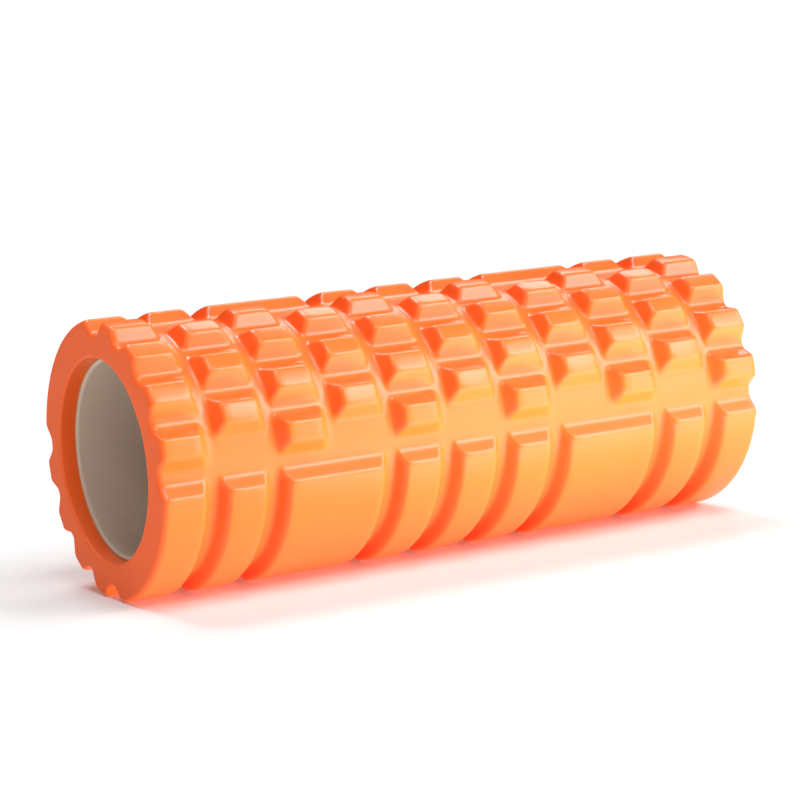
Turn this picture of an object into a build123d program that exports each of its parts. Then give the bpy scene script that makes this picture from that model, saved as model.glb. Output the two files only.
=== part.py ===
from build123d import *
import os
from math import cos, radians, sin

# Massage roller: a patterned foam sleeve bonded on a rigid core tube.
# Millimetres and degrees. X runs along the roller, Z is up, and the origin is the middle of its axis.
# Angles round the axis start at the front, -Y, and turn upwards, so 90 is the top.

# whole roller
rollerLength = 330.0
treadRadius = 65.5  # to the tops of the fins and blocks
floorRadius = 59.2  # to the floor of the grooves between them
sharedDepth = 1.5  # how far a raised shape reaches into the floor it grows from
overshoot = 2.0  # how far a cutting outline passes the tread
rimRounding = 3.0  # soft outer edge of both end faces

# core tube, a little shorter than the foam, so the foam lips protect its ends
coreOuterRadius = 47.5
coreWall = 2.0
coreRecess = 8.0
bondThickness = 0.25

# tread columns along the axis: the two end columns are a little narrower than the rest
columnCount = 11
columnPitch = 30.7
grooveHalfWidth = 2.5  # half of the floor strip between two columns
sideWallRun = 3.75  # how far a side wall leans in over its height
wideFinStarts = (2, 7)  # these fins span two columns each

# tread divisions round the axis: two zones of blocks and two of fins, a quarter turn each
zoneAngle = 90.0
divisionAngle = 22.5
finFootAngle = 3.7  # from the zone's edge to the foot of a fin's end wall
finTopAngle = 9.0
blockFootHalf = 9.3
blockTopHalf = 4.3
blocksPerZone = 4

# the tread is turned a little so that the roller rests squarely on the two edges of its lowest groove
blockTopAngle = divisionAngle / 2 - blockTopHalf
treadTurn = -(finTopAngle - blockTopAngle) / 2

boreRadius = coreOuterRadius + bondThickness
coreLength = rollerLength - 2 * coreRecess


def onCircle(radius, angle):
    # a point of the YZ plane at this radius, with the angle counted from the front before the tread is turned
    turned = radians(angle + treadTurn)
    return (-radius * cos(turned), radius * sin(turned))


def wallLine(footAngle, topAngle):
    # a leaning wall's straight line, run on past the floor and past the tread
    foot = Vector(*onCircle(floorRadius, footAngle))
    top = Vector(*onCircle(treadRadius, topAngle))
    along = (top - foot).normalized()
    return foot - along * sharedDepth * 2, top + along * overshoot * 2


def wedge(footStart, topStart, topEnd, footEnd):
    # outline of one raised shape across the roller, between two leaning walls
    innerStart, outerStart = wallLine(footStart, topStart)
    innerEnd, outerEnd = wallLine(footEnd, topEnd)
    middle = (footStart + footEnd) / 2
    halfSpan = radians((topEnd - topStart) / 2)
    crown = Vector(*onCircle((treadRadius + overshoot * 2) / cos(halfSpan), middle))
    hub = Vector(*onCircle((floorRadius - sharedDepth * 2) * cos(halfSpan) * 0.8, middle))
    return Plane.YZ * make_face(Polyline(innerStart, outerStart, crown, outerEnd, innerEnd, hub, close=True))


def solidTube(outer, inner, length):
    ring = Plane.YZ * (Circle(outer) - Circle(inner))
    return extrude(ring, length / 2, both=True)


def columnRing(first, last):
    # the full ring of tread over columns first to last, with leaning sides between columns
    # and a flat, softly rounded side where it meets an end face of the roller
    atStart = first == 0
    atEnd = last == columnCount - 1
    start = -rollerLength / 2 if atStart else (first - columnCount / 2) * columnPitch
    end = rollerLength / 2 if atEnd else (last + 1 - columnCount / 2) * columnPitch
    lean = sideWallRun / (treadRadius - floorRadius)
    low = floorRadius - sharedDepth
    footStart = start if atStart else start + grooveHalfWidth - lean * sharedDepth
    footEnd = end if atEnd else end - grooveHalfWidth + lean * sharedDepth
    topStart = start if atStart else start + grooveHalfWidth + sideWallRun
    topEnd = end if atEnd else end - grooveHalfWidth - sideWallRun
    outline = Polyline((footStart, low), (topStart, treadRadius), (topEnd, treadRadius), (footEnd, low), close=True)
    section = make_face(outline)
    corners = [v for v in section.vertices() if v.Y > floorRadius and abs(v.X) > rollerLength / 2 - 0.1]
    if corners:
        section = fillet(corners, rimRounding)
    return revolve(section, Axis.X, 360)


def finOutlines():
    # two fins round the axis, each filling a zone that starts a quarter turn below the front or the back
    for zoneStart in (-zoneAngle, zoneAngle):
        zoneEnd = zoneStart + zoneAngle
        yield wedge(zoneStart + finFootAngle, zoneStart + finTopAngle, zoneEnd - finTopAngle, zoneEnd - finFootAngle)


def blockOutlines(column):
    # odd and even columns are staggered by half a division, and the staggered ones have a block fewer
    staggered = column % 2 == 1
    count = blocksPerZone - 1 if staggered else blocksPerZone
    firstCentre = divisionAngle if staggered else divisionAngle / 2
    for zoneStart in (0, 2 * zoneAngle):
        for index in range(count):
            centre = zoneStart + firstCentre + index * divisionAngle
            feet = (centre - blockFootHalf, centre + blockFootHalf)
            tops = (centre - blockTopHalf, centre + blockTopHalf)
            yield wedge(feet[0], tops[0], tops[1], feet[1])


def raised(ring, outlines):
    # what is left of a ring of tread inside the given outlines
    for outline in outlines:
        prism = extrude(outline, rollerLength / 2, both=True)
        yield (ring & prism).solid()


# foam sleeve: the floor tube with every fin and block grown on it
wideFinEnds = tuple(start + 1 for start in wideFinStarts)
treadShapes = []
for column in range(columnCount):
    treadShapes.extend(raised(columnRing(column, column), blockOutlines(column)))
    if column not in wideFinEnds:
        finLast = column + 1 if column in wideFinStarts else column
        treadShapes.extend(raised(columnRing(column, finLast), finOutlines()))

foamSleeve = solidTube(floorRadius, boreRadius, rollerLength).fuse(*treadShapes)

# adhesive film that holds the sleeve on the core tube
bondFilm = solidTube(boreRadius, coreOuterRadius, coreLength)

# rigid extruded core tube
coreTube = solidTube(coreOuterRadius, coreOuterRadius - coreWall, coreLength)

os.makedirs("parts", exist_ok=True)
export_step(foamSleeve, "parts/foam_sleeve.step")
export_step(bondFilm, "parts/bond_film.step")
export_step(coreTube, "parts/core_tube.step")

for name, piece in (("foam_sleeve", foamSleeve), ("bond_film", bondFilm), ("core_tube", coreTube)):
    print(name, "solids", len(piece.solids()), "volume cm3", round(piece.volume / 1000, 1))
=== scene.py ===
import bpy
import math
import numpy as np
from mathutils import Matrix, Vector, noise


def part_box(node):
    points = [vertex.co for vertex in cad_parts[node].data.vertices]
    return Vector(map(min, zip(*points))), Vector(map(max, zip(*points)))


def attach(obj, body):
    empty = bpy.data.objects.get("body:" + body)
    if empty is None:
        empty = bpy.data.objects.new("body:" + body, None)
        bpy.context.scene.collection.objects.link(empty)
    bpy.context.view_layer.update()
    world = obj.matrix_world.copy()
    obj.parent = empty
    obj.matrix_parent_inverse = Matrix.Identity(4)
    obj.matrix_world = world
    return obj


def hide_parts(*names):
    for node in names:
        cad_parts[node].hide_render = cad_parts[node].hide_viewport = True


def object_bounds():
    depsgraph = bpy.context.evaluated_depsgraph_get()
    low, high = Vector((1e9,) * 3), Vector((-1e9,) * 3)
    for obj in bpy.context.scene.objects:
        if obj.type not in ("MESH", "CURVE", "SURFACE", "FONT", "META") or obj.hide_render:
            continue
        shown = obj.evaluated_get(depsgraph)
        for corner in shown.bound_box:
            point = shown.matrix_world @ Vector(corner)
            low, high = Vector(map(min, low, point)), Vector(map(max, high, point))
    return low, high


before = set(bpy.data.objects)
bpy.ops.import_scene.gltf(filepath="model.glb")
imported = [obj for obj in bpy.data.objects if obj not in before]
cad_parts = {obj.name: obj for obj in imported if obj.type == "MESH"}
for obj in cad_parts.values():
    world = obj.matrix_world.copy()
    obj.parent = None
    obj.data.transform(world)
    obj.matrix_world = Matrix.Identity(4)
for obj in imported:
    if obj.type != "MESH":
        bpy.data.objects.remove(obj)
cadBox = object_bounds()
print("frame loaded")

mm = 0.001


def hexColour(code):
    # sRGB hex to the linear colour a shader works in
    parts = [int(code[i:i + 2], 16) / 255 for i in (1, 3, 5)]
    return tuple(p / 12.92 if p <= 0.04045 else ((p + 0.055) / 1.055) ** 2.4 for p in parts) + (1.0,)


def addNode(tree, kind, settings=None, links=None):
    # one node with its settings, and its links given as input: output socket
    node = tree.nodes.new(kind)
    for name, value in (settings or {}).items():
        if name in node.inputs:
            node.inputs[name].default_value = value
        else:
            setattr(node, name, value)
    for name, source in (links or {}).items():
        tree.links.new(source, node.inputs[name])
    return node


def newMaterial(name):
    # a material with its tree, its shader and the place on the piece, in metres
    material = bpy.data.materials.new(name)
    material.use_nodes = True
    tree = material.node_tree
    place = addNode(tree, "ShaderNodeTexCoord").outputs["Object"]
    return material, tree, tree.nodes["Principled BSDF"], place


def shadeBetween(tree, factor, dark, light):
    # colour that runs from dark to light with the factor
    blend = addNode(tree, "ShaderNodeMix", {"data_type": "RGBA"}, {"Factor": factor})
    blend.inputs[6].default_value = hexColour(dark)
    blend.inputs[7].default_value = hexColour(light)
    return blend.outputs[2]


def newPiece(name, points, faces):
    # a smooth mesh in the scene, from points in metres
    mesh = bpy.data.meshes.new(name)
    mesh.from_pydata(points, [], faces)
    mesh.polygons.foreach_set("use_smooth", [True] * len(mesh.polygons))
    mesh.update()
    piece = bpy.data.objects.new(name, mesh)
    bpy.context.collection.objects.link(piece)
    return piece


# sizes shared by the pieces, in mm; angles start at the front, -Y, and turn upwards
low, high = cadBox
rollerLength = (high[0] - low[0]) / mm
roller = {
    "treadRadius": 65.5,
    "floorRadius": 59.2,
    "tubeRadius": 47.5,
    "tubeWall": 2.0,
    "bond": 0.25,
}

# moulded EVA sleeve
sleeve = {
    "columns": 11,
    "pitch": 30.7,  # the two end columns are narrower
    "wideFins": (2, 7),  # first columns of the fins that span two
    "turn": -1.025,  # degrees, so the lowest groove's two edges stand level
    "grooveHalf": 2.5,
    "sideRun": 3.75,
    "zone": 90.0,  # degrees round the roller that each zone of blocks or fins takes
    "blockZones": (0.0, 180.0),  # where those of blocks start
    "finZones": (90.0, 270.0),
    "division": 22.5,  # degrees from one block to the next
    "blocks": 4,  # in a zone; staggered columns have one fewer
    "finFoot": 3.7,  # from a zone's edge to the foot of a fin's end wall
    "finTop": 9.0,
    "blockFoot": 9.3,  # from a block's middle to the foot of its end wall
    "blockTop": 4.3,
    "sideRounding": 0.40,  # of a wall's height, along the edges that run round the roller
    "endRounding": 0.24,  # the same, along the edges that run lengthwise
    "footRounding": 0.22,
    "cornerRounding": 0.6,  # the same, where a side wall turns into an end wall
    "rimRounding": 3.0,
    "lipRounding": 1.2,
    "wave": 0.12,  # mm, slight unevenness that foam keeps from its mould
    "waveLength": 24.0,
    "lengthStep": 3.8,  # mm between lines on plain stretches
    "roundStep": 3.0,  # degrees, the same
    "mergeShare": 0.06,  # lines closer than this share of a step are merged
    "wallLines": (0.24, 0.42),  # lines on a wall, as shares of its height
    "edgeLines": (-1, -0.6, -0.25, 0.1, 0.5, 1),  # lines round its top edge, in units of the rounding
    "faceLines": (0.12, 0.3, 0.5, 0.7, 0.88, 1.0),  # loops down an end face
    "rimLines": 6,
    "lipLines": 4,
    "boreLines": 20,
    "boreInset": 6.0,  # mm from an end to the first of them
    "fullRise": 3.0,  # rise given to places well inside a shape
    "noRise": -1.0,  # and to places well outside
    "outsideMargin": 4.0,  # degrees past a foot that count as outside
    "insideMargin": 3.0,  # degrees past a top edge that count as inside
    "wallBlend": 0.6,  # rise difference over which one wall's rounding turns into the other's
}


def columnEdge(index):
    # middle of the groove before column index, from the left end
    return rollerLength / 2 + (index - sleeve["columns"] / 2) * sleeve["pitch"]


def softMin(a, b, k):
    # the lower of two heights, rounded off where they come within k of each other
    h = np.maximum(k - np.abs(a - b), 0) / k
    return np.minimum(a, b) - h * h * k / 4


def softMax(a, b, k):
    return -softMin(-a, -b, k)


def wallRise(angle, footAngle, topAngle):
    # how far up a flat leaning wall the surface is at this angle: 0 at its foot, 1 at the tread
    base, top = roller["floorRadius"], roller["treadRadius"]
    footX, footY = base * math.cos(math.radians(footAngle)), base * math.sin(math.radians(footAngle))
    alongX = top * math.cos(math.radians(topAngle)) - footX
    alongY = top * math.sin(math.radians(topAngle)) - footY
    a = np.radians(angle)
    reach = (footX * alongY - footY * alongX) / (np.cos(a) * alongY - np.sin(a) * alongX)
    return (reach - base) / (top - base)


def blockSpans(column):
    # each block's two feet and two top edges in degrees; odd columns are staggered by half a division
    staggered = column % 2 == 1
    count = sleeve["blocks"] - 1 if staggered else sleeve["blocks"]
    first = sleeve["division"] if staggered else sleeve["division"] / 2
    centres = [zone + first + i * sleeve["division"] for zone in sleeve["blockZones"] for i in range(count)]
    foot, top = sleeve["blockFoot"], sleeve["blockTop"]
    return [(c - foot, c - top, c + top, c + foot) for c in centres]


def finSpans():
    # the same for the fins, which fill their zones
    foot, top = sleeve["finFoot"], sleeve["finTop"]
    ends = [(start, start + sleeve["zone"]) for start in sleeve["finZones"]]
    return [(start + foot, start + top, end - top, end - foot) for start, end in ends]


def spanRise(angles, spans):
    # height share of one ring's raised shapes between their end walls; it runs on past 1
    fullRise, noRise = sleeve["fullRise"], sleeve["noRise"]
    rise = np.full(angles.shape, noRise)
    for footStart, topStart, topEnd, footEnd in spans:
        half = (footEnd - footStart) / 2
        lean = topStart - footStart
        away = np.abs((angles - (footStart + footEnd) / 2 + 180) % 360 - 180)
        near = away < half + sleeve["outsideMargin"]
        up = wallRise(np.where(near, away, half), half, half - lean)
        up = np.where(away < half - lean - sleeve["insideMargin"], fullRise, up)
        rise = np.maximum(rise, np.where(near, np.clip(up, noRise, fullRise), noRise))
    return rise


def columnRise(x, first, last):
    # height share of the same ring between its side walls; a roller end has no side wall
    start = columnEdge(first) + sleeve["grooveHalf"]
    end = columnEdge(last + 1) - sleeve["grooveHalf"]
    rise = np.full(x.shape, sleeve["fullRise"])
    if first > 0:
        rise = np.minimum(rise, (x - start) / sleeve["sideRun"])
    if last < sleeve["columns"] - 1:
        rise = np.minimum(rise, (end - x) / sleeve["sideRun"])
    return np.clip(rise, sleeve["noRise"], sleeve["fullRise"])


def treadHeight(x, angles):
    # share of the tread's depth at every x and angle
    total = np.zeros((len(x), len(angles)))
    finEnds = [c + 1 for c in sleeve["wideFins"]]
    rings = []
    for column in range(sleeve["columns"]):
        rings.append((column, column, blockSpans(column)))
        if column not in finEnds:
            finLast = column + 1 if column in sleeve["wideFins"] else column
            rings.append((column, finLast, finSpans()))
    for first, last, spans in rings:
        side = columnRise(x, first, last)[:, None]
        ends = spanRise(angles, spans)[None, :]
        both = softMin(side, ends, sleeve["cornerRounding"])
        # 1 where the side wall is the lower one, 0 where the end wall is
        sideShare = np.clip((ends - side) / sleeve["wallBlend"] + 0.5, 0, 1)
        rounding = sleeve["endRounding"] + sideShare * (sleeve["sideRounding"] - sleeve["endRounding"])
        total = np.maximum(total, softMax(softMin(both, 1.0, rounding), 0.0, sleeve["footRounding"]))
    return total


def sampleLines(walls, rounding, start, end, coarse):
    # places along one direction: close together where a wall's foot and top are rounded
    foot = sleeve["footRounding"]
    steps = [-foot, 0, foot, *sleeve["wallLines"]] + [1 + rounding * s for s in sleeve["edgeLines"]]
    marks = {round(start, 4), round(end, 4)}
    for wallFoot, wallTop in walls:
        places = [wallFoot + (wallTop - wallFoot) * s for s in steps]
        marks.update(round(p, 4) for p in places if start < p < end)
    marks = sorted(marks)
    lines = [marks[0]]
    for mark in marks[1:]:
        gap = mark - lines[-1]
        if gap < coarse * sleeve["mergeShare"]:
            continue
        pieces = math.ceil(gap / coarse)
        lines += [lines[-1] + gap * i / pieces for i in range(1, pieces)]
        lines.append(mark)
    lines[-1] = marks[-1]
    return np.array(lines)


def axialLines():
    # from the left end, between the two rounded rims
    walls = []
    groove, run = sleeve["grooveHalf"], sleeve["sideRun"]
    for boundary in range(1, sleeve["columns"]):
        place = columnEdge(boundary)
        walls.append((place - groove, place - groove - run))
        walls.append((place + groove, place + groove + run))
    rim = sleeve["rimRounding"]
    return sampleLines(walls, sleeve["sideRounding"], rim, rollerLength - rim, sleeve["lengthStep"])


def roundLines():
    # all the way round, without the last, which is the first again
    walls = []
    for spans in (blockSpans(0), blockSpans(1), finSpans()):
        for footStart, topStart, topEnd, footEnd in spans:
            walls += [(footStart, topStart), (footEnd, topEnd)]
    return sampleLines(walls, sleeve["endRounding"], 0.0, 360.0, sleeve["roundStep"])[:-1]


def uneven(x, angle, radius):
    # slow waviness of the moulded skin, from its place alone
    a = math.radians(angle)
    spot = Vector((x, radius * math.cos(a), radius * math.sin(a))) / sleeve["waveLength"]
    return noise.noise(spot) * sleeve["wave"]


def endRows(edgeRadii, bore):
    # round the rim, down the flat end face and round the lip, as (depth from the end, radius)
    rim, lip = sleeve["rimRounding"], sleeve["lipRounding"]
    flat = np.zeros(len(edgeRadii))
    rows = []
    for step in range(1, sleeve["rimLines"] + 1):
        turn = math.radians(90 * step / sleeve["rimLines"])
        rows.append((flat + rim * (1 - math.sin(turn)), edgeRadii - rim * (1 - math.cos(turn))))
    outer, inner = edgeRadii - rim, bore + lip
    for share in sleeve["faceLines"]:
        rows.append((flat, outer + (inner - outer) * share))
    for step in range(1, sleeve["lipLines"] + 1):
        turn = math.radians(90 * step / sleeve["lipLines"])
        rows.append((flat + lip * (1 - math.cos(turn)), flat + bore + lip * (1 - math.sin(turn))))
    return rows


def buildSleeve():
    # one closed skin: out along the tread, down the far end, back through the bore, up the near end
    xs = axialLines()
    angles = roundLines()
    treadDepth = roller["treadRadius"] - roller["floorRadius"]
    radii = roller["floorRadius"] + treadDepth * treadHeight(xs, angles)
    for i, x in enumerate(xs):
        for j, angle in enumerate(angles):
            radii[i, j] += uneven(x, angle, radii[i, j])
    bore = roller["tubeRadius"] + roller["bond"]

    # each row is one loop round the roller: x from the left end, and radius
    flat = np.zeros(len(angles))
    rows = [(flat + x, radii[i]) for i, x in enumerate(xs)]
    rows += [(rollerLength - depth, radius) for depth, radius in endRows(radii[-1], bore)]
    inset = sleeve["boreInset"]
    rows += [(flat + x, flat + bore) for x in np.linspace(rollerLength - inset, inset, sleeve["boreLines"])]
    rows += endRows(radii[0], bore)[::-1]

    turned = np.radians(angles + sleeve["turn"])
    across, up = -np.cos(turned), np.sin(turned)
    loops = [np.stack([x - rollerLength / 2, r * across, r * up], axis=1) for x, r in rows]
    points = np.array(loops) * mm
    # corners of every quad: b on the next loop, d at the next angle, c at both
    a = np.arange(points.shape[0] * points.shape[1]).reshape(points.shape[:2])
    b = np.roll(a, -1, axis=0)
    c = np.roll(b, -1, axis=1)
    d = np.roll(a, -1, axis=1)
    # a quad splits along the diagonal that follows a ridge, so mitred corners stay clean
    radiusA = np.array([r for _, r in rows])
    radiusB = np.roll(radiusA, -1, axis=0)
    radiusC = np.roll(radiusB, -1, axis=1)
    radiusD = np.roll(radiusA, -1, axis=1)
    flip = (radiusB + radiusD > radiusA + radiusC)[..., None]
    quads = np.where(flip, np.stack([b, c, d, a], axis=-1), np.stack([a, b, c, d], axis=-1))
    print("sleeve", points.shape[0], "loops of", points.shape[1])
    return newPiece("mouldedSleeve", points.reshape(-1, 3).tolist(), quads.reshape(-1, 4).tolist())


evaFoam = {
    "body": "#F66224",
    "light": "#F86628",
    "mottle": 35.0,  # mm, slow change of shade
    "mottleDetail": 3.0,
    "grain": 0.9,  # mm, the skin's pores; drawn coarser than the real 0.2 mm so that they show
    "grainDetail": 2.0,
    "grainDepth": 0.05,
    "grainReach": 0.5,  # mm
    "roughness": 0.30,
    "refraction": 1.48,
    "gloss": 0.45,  # 0.5 is the full reflection of a clean surface
    "endRoughness": 0.6,
    "endGloss": 0.35,
    "endBlend": 1.5,  # mm over which the skin turns matt at the trimmed end faces
}


def evaMaterial():
    # moulded closed-cell EVA: a smooth satin skin that gives broad soft highlights over a fine grain
    material, tree, shader, place = newMaterial("mouldedEvaFoamSkin")
    coarse = {"Scale": 1 / (evaFoam["mottle"] * mm), "Detail": evaFoam["mottleDetail"]}
    mottle = addNode(tree, "ShaderNodeTexNoise", coarse, {"Vector": place})
    shade = shadeBetween(tree, mottle.outputs["Fac"], evaFoam["body"], evaFoam["light"])
    tree.links.new(shade, shader.inputs["Base Color"])
    fine = {"Scale": 1 / (evaFoam["grain"] * mm), "Detail": evaFoam["grainDetail"]}
    grain = addNode(tree, "ShaderNodeTexNoise", fine, {"Vector": place})
    depth = {"Strength": evaFoam["grainDepth"], "Distance": evaFoam["grainReach"] * mm}
    bump = addNode(tree, "ShaderNodeBump", depth, {"Height": grain.outputs["Fac"]})
    tree.links.new(bump.outputs["Normal"], shader.inputs["Normal"])
    # the end faces are trimmed, so they are matt
    across = addNode(tree, "ShaderNodeSeparateXYZ", None, {"Vector": place})
    reach = addNode(tree, "ShaderNodeMath", {"operation": "ABSOLUTE"}, {0: across.outputs["X"]})
    half = rollerLength / 2
    edge = {"From Min": (half - evaFoam["endBlend"]) * mm, "From Max": half * mm}
    changes = {"Roughness": ("roughness", "endRoughness"), "Specular IOR Level": ("gloss", "endGloss")}
    for name, (skin, trimmed) in changes.items():
        settings = {**edge, "To Min": evaFoam[skin], "To Max": evaFoam[trimmed]}
        share = addNode(tree, "ShaderNodeMapRange", settings, {"Value": reach.outputs["Value"]})
        tree.links.new(share.outputs["Result"], shader.inputs[name])
    shader.inputs["IOR"].default_value = evaFoam["refraction"]
    return material


sleevePiece = buildSleeve()
sleevePiece.data.materials.append(evaMaterial())
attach(sleevePiece, "root")
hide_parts("foam_sleeve")
print("sleeve built")

# extruded ABS core tube
tube = {
    "segments": 192,
    "mouthLines": 6,
    "wallLines": 16,
    "sharpAngle": 30.0,  # degrees
    "edge": 0.4,  # mm, outer edge
    "mouth": 1.5,  # mm, rounding of the inner edge
    "dark": "#C3B2A0",
    "light": "#CBBAA8",
    "drawLines": 1.2,  # mm between the faint lengthwise lines of extrusion
    "stretch": 0.02,  # how far the pattern is drawn out along the tube
    "lineDetail": 2.0,
    "lineDepth": 0.08,
    "lineReach": 0.3,  # mm
    "roughness": 0.5,
    "refraction": 1.53,
}


def buildTube():
    # a closed wall turned about the axis, with rounded mouths
    tubeLow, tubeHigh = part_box("core_tube")
    start, end = tubeLow[0], tubeHigh[0]
    outer = roller["tubeRadius"] * mm
    inner = outer - roller["tubeWall"] * mm
    edge, mouth = tube["edge"] * mm, tube["mouth"] * mm
    steps = tube["mouthLines"]
    quarter = [math.radians(90 * i / steps) for i in range(steps + 1)]
    leftMouth = [(start + mouth * (1 - math.cos(t)), inner + mouth * (1 - math.sin(t))) for t in quarter]
    rightMouth = [(start + end - x, r) for x, r in reversed(leftMouth)]
    pieces = tube["wallLines"]
    straight = end - start - 2 * mouth
    inside = [(start + mouth + straight * i / pieces, inner) for i in range(1, pieces)]
    profile = [(start + edge, outer), (start, outer - edge)] + leftMouth + inside
    profile += rightMouth + [(end, outer - edge), (end - edge, outer)]
    count = tube["segments"]
    turns = [2 * math.pi * j / count for j in range(count)]
    points = [(x, -r * math.cos(a), r * math.sin(a)) for x, r in profile for a in turns]
    faces = []
    for i in range(len(profile)):
        row, nextRow = i * count, (i + 1) % len(profile) * count
        for j in range(count):
            k = (j + 1) % count
            faces.append((row + j, row + k, nextRow + k, nextRow + j))
    piece = newPiece("extrudedTube", points, faces)
    piece.data.set_sharp_from_angle(angle=math.radians(tube["sharpAngle"]))
    return piece


def tubeMaterial():
    # extruded ABS: a matte wall with faint drawing lines along its length
    material, tree, shader, place = newMaterial("extrudedAbsTube")
    drawn = {"Scale": (tube["stretch"], 1.0, 1.0)}
    source = addNode(tree, "ShaderNodeMapping", drawn, {"Vector": place}).outputs["Vector"]
    pattern = {"Scale": 1 / (tube["drawLines"] * mm), "Detail": tube["lineDetail"]}
    lines = addNode(tree, "ShaderNodeTexNoise", pattern, {"Vector": source})
    shade = shadeBetween(tree, lines.outputs["Fac"], tube["dark"], tube["light"])
    tree.links.new(shade, shader.inputs["Base Color"])
    depth = {"Strength": tube["lineDepth"], "Distance": tube["lineReach"] * mm}
    bump = addNode(tree, "ShaderNodeBump", depth, {"Height": lines.outputs["Fac"]})
    tree.links.new(bump.outputs["Normal"], shader.inputs["Normal"])
    shader.inputs["Roughness"].default_value = tube["roughness"]
    shader.inputs["IOR"].default_value = tube["refraction"]
    return material


tubePiece = buildTube()
tubePiece.data.materials.append(tubeMaterial())
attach(tubePiece, "root")
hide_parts("core_tube")
print("tube built")

# adhesive film between the two, kept from the CAD
bond = {
    "dark": "#A87A3C",
    "light": "#C79A55",
    "streak": 4.5,  # mm, brushed-on streaks
    "streakDetail": 4.0,
    "roughness": 0.35,
}


def bondMaterial():
    # dried contact adhesive: amber and uneven where it was brushed on
    material, tree, shader, place = newMaterial("driedContactAdhesive")
    pattern = {"Scale": 1 / (bond["streak"] * mm), "Detail": bond["streakDetail"]}
    streaks = addNode(tree, "ShaderNodeTexNoise", pattern, {"Vector": place})
    shade = shadeBetween(tree, streaks.outputs["Fac"], bond["dark"], bond["light"])
    tree.links.new(shade, shader.inputs["Base Color"])
    shader.inputs["Roughness"].default_value = bond["roughness"]
    return material


bondSkin = bondMaterial()
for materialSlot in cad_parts["bond_film"].material_slots:
    materialSlot.material = bondSkin
print("adhesive film covered")

# table, lamps and camera
studio = {
    "table": "#CCCCCC",
    "tableSize": 40.0,  # metres
    "tableRoughness": 0.9,
    "tableGlow": 0.12,  # a translucent table lit from below
    "white": "#FFFFFF",
    "backdrop": 1.1,  # how bright the backdrop behind the table looks
    "ambient": 0.0,  # and how much it lights the roller
    "lampWidth": 24.0,  # degrees that each lamp spans
    "lamps": (
        # azimuth from the front towards +X, elevation, strength
        (38, 36, 1.7),
        (70, 30, 1.25),
        (40, 10, 0.7),
        (134, 44, 0.75),
        (0, 70, 1.3),
        (180, 62, 1.9),
        (-45, 50, 0.45),
        (45, -45, 3.8),  # under the table, shining up through it
    ),
    "cards": (
        # place in metres, the way it faces, width, height, power
        ((1.90, -2.20, 0.18), (-0.9, 1.0, 0.0), 1.2, 0.5, 35.0),
        ((0.30, -0.36, -0.06), (0.0, 0.0, 1.0), 0.7, 0.5, 6.0),
        ((-0.55, -0.30, -0.03), (1.0, 0.5, 0.0), 0.4, 0.12, 0.5),
    ),
    "viewAzimuth": 30.38,
    "viewElevation": 8.71,
    "viewRoll": -3.0,
    "viewDistance": 1.2932,
    "aim": (-0.00491, 0.0, 0.00885),
    "lens": 119.1,
    "sensor": 36.0,
    "clip": (0.05, 100.0),
}


def buildTable():
    # a plain pale table under the roller's lowest edges
    half = studio["tableSize"] / 2
    level = min(vertex.co.z for vertex in sleevePiece.data.vertices)
    corners = [(-half, -half, level), (half, -half, level), (half, half, level), (-half, half, level)]
    table = newPiece("tableTop", corners, [(0, 1, 2, 3)])
    # matte translucent acrylic: even and pale, it only takes soft shadows
    material, _, shader, _ = newMaterial("matteAcrylicTable")
    shader.inputs["Base Color"].default_value = hexColour(studio["table"])
    shader.inputs["Roughness"].default_value = studio["tableRoughness"]
    shader.inputs["Emission Color"].default_value = hexColour(studio["table"])
    shader.inputs["Emission Strength"].default_value = studio["tableGlow"]
    table.data.materials.append(material)
    table.visible_shadow = False  # so that it lets the lamp under it through


def buildBackdrop():
    # white behind the table; what lights the roller from it is set apart from what is seen
    world = bpy.data.worlds.new("whiteBackdrop")
    bpy.context.scene.world = world
    world.use_nodes = True
    tree = world.node_tree
    lighting = tree.nodes["Background"]
    white = hexColour(studio["white"])
    lighting.inputs["Color"].default_value = white
    lighting.inputs["Strength"].default_value = studio["ambient"]
    seen = addNode(tree, "ShaderNodeBackground", {"Color": white, "Strength": studio["backdrop"]})
    rays = addNode(tree, "ShaderNodeLightPath")
    choice = addNode(tree, "ShaderNodeMixShader", None, {0: rays.outputs["Is Camera Ray"]})
    tree.links.new(lighting.outputs["Background"], choice.inputs[1])
    tree.links.new(seen.outputs["Background"], choice.inputs[2])
    tree.links.new(choice.outputs["Shader"], tree.nodes["World Output"].inputs["Surface"])


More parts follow.
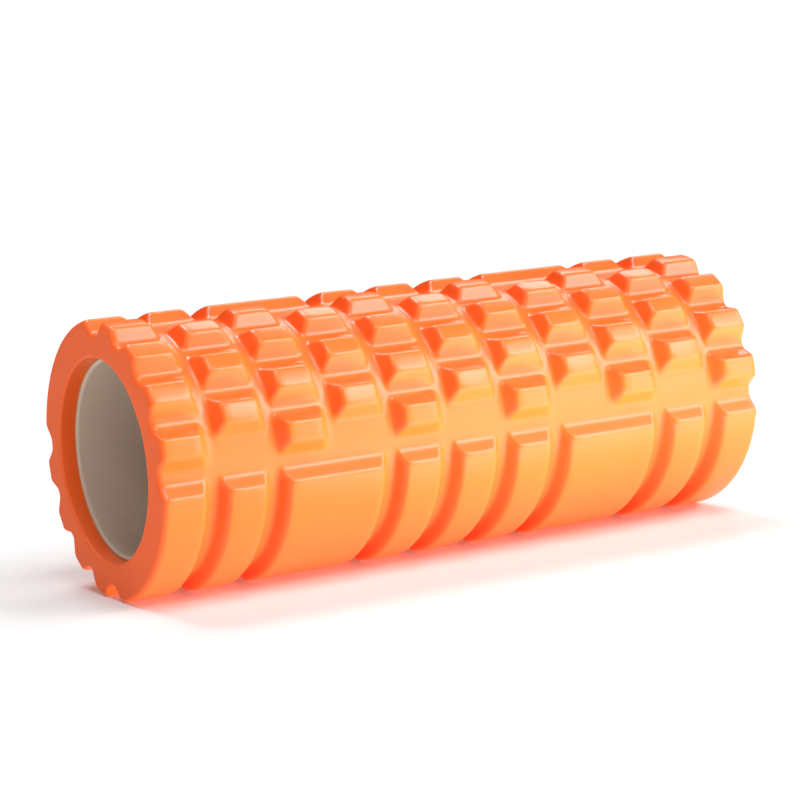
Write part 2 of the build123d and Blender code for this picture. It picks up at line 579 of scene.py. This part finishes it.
def hangLamp(azimuth, elevation, strength):
    # one large far softbox, at that azimuth and elevation in degrees
    light = bpy.data.lights.new("softbox", "SUN")
    light.energy = strength
    light.angle = math.radians(studio["lampWidth"])
    lamp = bpy.data.objects.new("softbox", light)
    a, e = math.radians(azimuth), math.radians(elevation)
    back = Vector((math.sin(a) * math.cos(e), -math.cos(a) * math.cos(e), math.sin(e)))
    lamp.rotation_mode = "QUATERNION"
    lamp.rotation_quaternion = back.to_track_quat("Z", "Y")
    lamp.visible_glossy = elevation > 0  # the one under the table only fills the undersides
    bpy.context.collection.objects.link(lamp)


def standCard(place, facing, width, height, power):
    # a bright card beside the roller; it fills the undersides and is never seen itself
    light = bpy.data.lights.new("reflectorCard", "AREA")
    light.shape = "RECTANGLE"
    light.size, light.size_y = width, height
    light.energy = power
    card = bpy.data.objects.new("reflectorCard", light)
    card.location = place
    card.rotation_mode = "QUATERNION"
    card.rotation_quaternion = Vector(facing).to_track_quat("-Z", "Y")
    card.visible_camera = False
    card.visible_glossy = False
    bpy.context.collection.objects.link(card)


def placeCamera():
    # a long lens, close to the roller's level and off its left end
    names = ("viewAzimuth", "viewElevation", "viewRoll")
    azimuth, elevation, roll = (math.radians(studio[name]) for name in names)
    level = math.cos(elevation)
    back = Vector((-math.sin(azimuth) * level, -math.cos(azimuth) * level, math.sin(elevation)))
    side = (-back).cross(Vector((0, 0, 1))).normalized()
    up = side.cross(-back)
    turnedSide = side * math.cos(roll) + up * math.sin(roll)
    turnedUp = up * math.cos(roll) - side * math.sin(roll)
    camera = bpy.data.objects.new("camera", bpy.data.cameras.new("camera"))
    bpy.context.collection.objects.link(camera)
    # the roller rests a little turned, so the view turns with it about the roller's axis
    rest = Matrix.Rotation(math.radians(-sleeve["turn"]), 4, "X")
    facing = Matrix((turnedSide, turnedUp, back)).transposed().to_4x4()
    stand = Matrix.Translation(Vector(studio["aim"]) + back * studio["viewDistance"])
    camera.matrix_world = rest @ stand @ facing
    camera.data.sensor_width = studio["sensor"]
    camera.data.lens = studio["lens"]
    camera.data.clip_start, camera.data.clip_end = studio["clip"]
    bpy.context.scene.camera = camera


buildTable()
buildBackdrop()
for lampPlace in studio["lamps"]:
    hangLamp(*lampPlace)
for cardPlace in studio["cards"]:
    standCard(*cardPlace)
placeCamera()
bpy.context.scene.view_settings.view_transform = "Standard"
bpy.context.scene.view_settings.exposure = 0.0
print("studio set")
